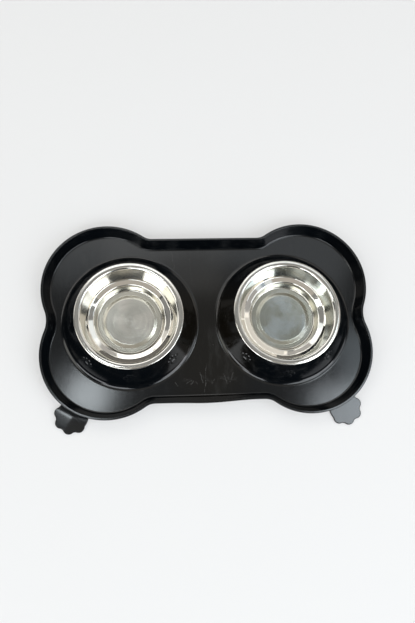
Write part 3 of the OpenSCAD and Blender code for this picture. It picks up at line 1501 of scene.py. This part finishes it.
@dataclass(frozen=True)
class Studio:
    """The pale floor, the soft lamps and the plain world round them, in metres."""

    floor_half: float = 4.0
    floor_z: float = -0.0004
    world_colour: Colour = (0.03, 0.035, 0.042)
    finish: FloorFinish = field(default_factory=FloorFinish)
    lamps: tuple[SoftLamp, ...] = (
        SoftLamp("left_window", 221.0, 20.0, 1.4, 1.3, 4.2, (0.95, 0.98, 1.0)),
        SoftLamp("left_side", 190.0, 44.0, 0.85, 1.5, 2.2, (1.0, 1.0, 0.93)),
        SoftLamp("left_front", 247.0, 46.0, 0.9, 0.9, 4.6, (0.93, 0.97, 1.0)),
        SoftLamp("right_window", 319.0, 20.0, 1.4, 1.3, 4.6, (0.93, 0.96, 1.0)),
        SoftLamp("right_side", 342.0, 43.0, 1.2, 0.9, 2.6, (0.86, 0.93, 1.0)),
        SoftLamp("right_front", 309.0, 46.0, 1.0, 0.9, 4.2, (0.9, 0.96, 1.0)),
        SoftLamp("back_gap", 100.0, 30.0, 3.7, 0.6, 0.2, (1.0, 0.93, 0.85)),
        SoftLamp("back_sky", 100.0, 60.0, 1.9, 0.5, 0.5, (1.0, 0.96, 0.9)),
        SoftLamp("right_gap", 355.0, 19.0, 1.9, 1.2, 0.8, (1.0, 0.96, 0.92)),
        SoftLamp("right_sky", 0.0, 57.0, 1.2, 0.5, 0.45, (1.0, 0.97, 0.93)),
        SoftLamp("left_gap", 185.0, 16.0, 1.1, 0.9, 0.3, (1.0, 0.93, 0.88)),
        SoftLamp("front_ceiling", 270.0, 77.0, 2.2, 1.1, 0.5, (1.0, 0.93, 0.82)),
        SoftLamp("back_middle_glow", 91.0, 69.5, 0.6, 0.3, 0.62, (1.0, 0.98, 0.94)),
        SoftLamp("back_left_band", 140.0, 46.0, 1.2, 0.65, 2.1, (1.0, 0.98, 0.94)),
        SoftLamp("back_band", 98.0, 46.0, 1.2, 0.65, 2.1, (1.0, 0.98, 0.94)),
        SoftLamp("back_right_wall", 40.0, 34.0, 1.8, 1.7, 0.85, (1.0, 0.95, 0.87)),
        SoftLamp("back_left_wall", 155.0, 25.0, 0.9, 0.8, 1.1, (1.0, 0.95, 0.87)),
        SoftLamp("ceiling", 88.0, 76.0, 2.6, 1.2, 0.27, (1.0, 0.98, 0.92)),
        SoftLamp("back_ceiling_left", 106.0, 64.0, 0.7, 0.45, 1.0, (0.9, 0.96, 1.0)),
        SoftLamp("back_ceiling_right", 63.0, 63.0, 0.9, 0.45, 0.9, (0.9, 0.96, 1.0)),
        SoftLamp("high_right_lamp", 2.0, 68.8, 0.33, 0.35, 7.5, (0.86, 0.94, 1.0)),
        SoftLamp("high_right_glow", 16.0, 65.5, 0.41, 0.25, 2.2, (0.8, 0.92, 1.0)),
        SoftLamp("high_right_sky", 345.5, 63.5, 0.4, 0.4, 0.55, (0.75, 0.88, 1.0)),
        SoftLamp("high_left_lamp", 154.5, 79.0, 0.2, 0.2, 12.0, (0.88, 0.96, 1.0)),
    )

    def build(self) -> None:
        """Builds the world, the lamps and the floor."""
        world = bpy.data.worlds.new("plain_world")
        world.use_nodes = True
        desk = Desk(world.node_tree)
        sky = desk.add("ShaderNodeBackground", None,
                       {"Color": (*self.world_colour, 1.0), "Strength": 1.0})
        desk.add("ShaderNodeOutputWorld", None, {0: sky.outputs[0]})
        bpy.context.scene.world = world
        for lamp in self.lamps:
            lamp.build()
        signs = ((-1, -1), (1, -1), (1, 1), (-1, 1))
        corners = [(x * self.floor_half, y * self.floor_half, self.floor_z) for x, y in signs]
        mesh = bpy.data.meshes.new("studio_floor")
        mesh.from_pydata(corners, [], [(0, 1, 2, 3)])
        add_object(mesh, self.finish.build())


@dataclass(frozen=True)
class PhotoCamera:
    """The camera that stands where the photograph was taken from."""

    focal_px: float = 640.0
    long_side_px: float = 623.0
    sensor_mm: float = 36.0
    clip: Band = (0.01, 50.0)
    place_mm: Triple = (-66.92, -200.48, 835.43)
    right: Triple = (0.99664, -0.04015, 0.07141)
    down: Triple = (-0.02118, -0.96832, -0.24881)
    ahead: Triple = (0.07914, 0.24645, -0.96592)

    def build(self) -> None:
        """Makes the camera and hands it to the scene."""
        data = bpy.data.cameras.new("photo_camera")
        data.sensor_fit, data.sensor_width = "AUTO", self.sensor_mm
        data.lens = self.focal_px * self.sensor_mm / self.long_side_px
        data.clip_start, data.clip_end = self.clip
        made = bpy.data.objects.new("photo_camera", data)
        turn = Matrix((self.right, -Vector(self.down), -Vector(self.ahead))).transposed()
        made.matrix_world = Matrix.Translation(Vector(self.place_mm) * MM) @ turn.to_4x4()
        bpy.context.scene.collection.objects.link(made)
        bpy.context.scene.camera = made


def main() -> None:
    """Builds the studio and the pieces."""
    logging.basicConfig(level=logging.INFO, format="%(message)s")
    bpy.context.scene.view_settings.view_transform = "Standard"
    PhotoCamera().build()
    Studio().build()
    for part in (Mat(), *(Bowl(end) for end in End)):
        piece = part.build()
        LOG.info("%s: %d faces", piece.name, len(piece.data.polygons))


if __name__ == "__main__":
    main()
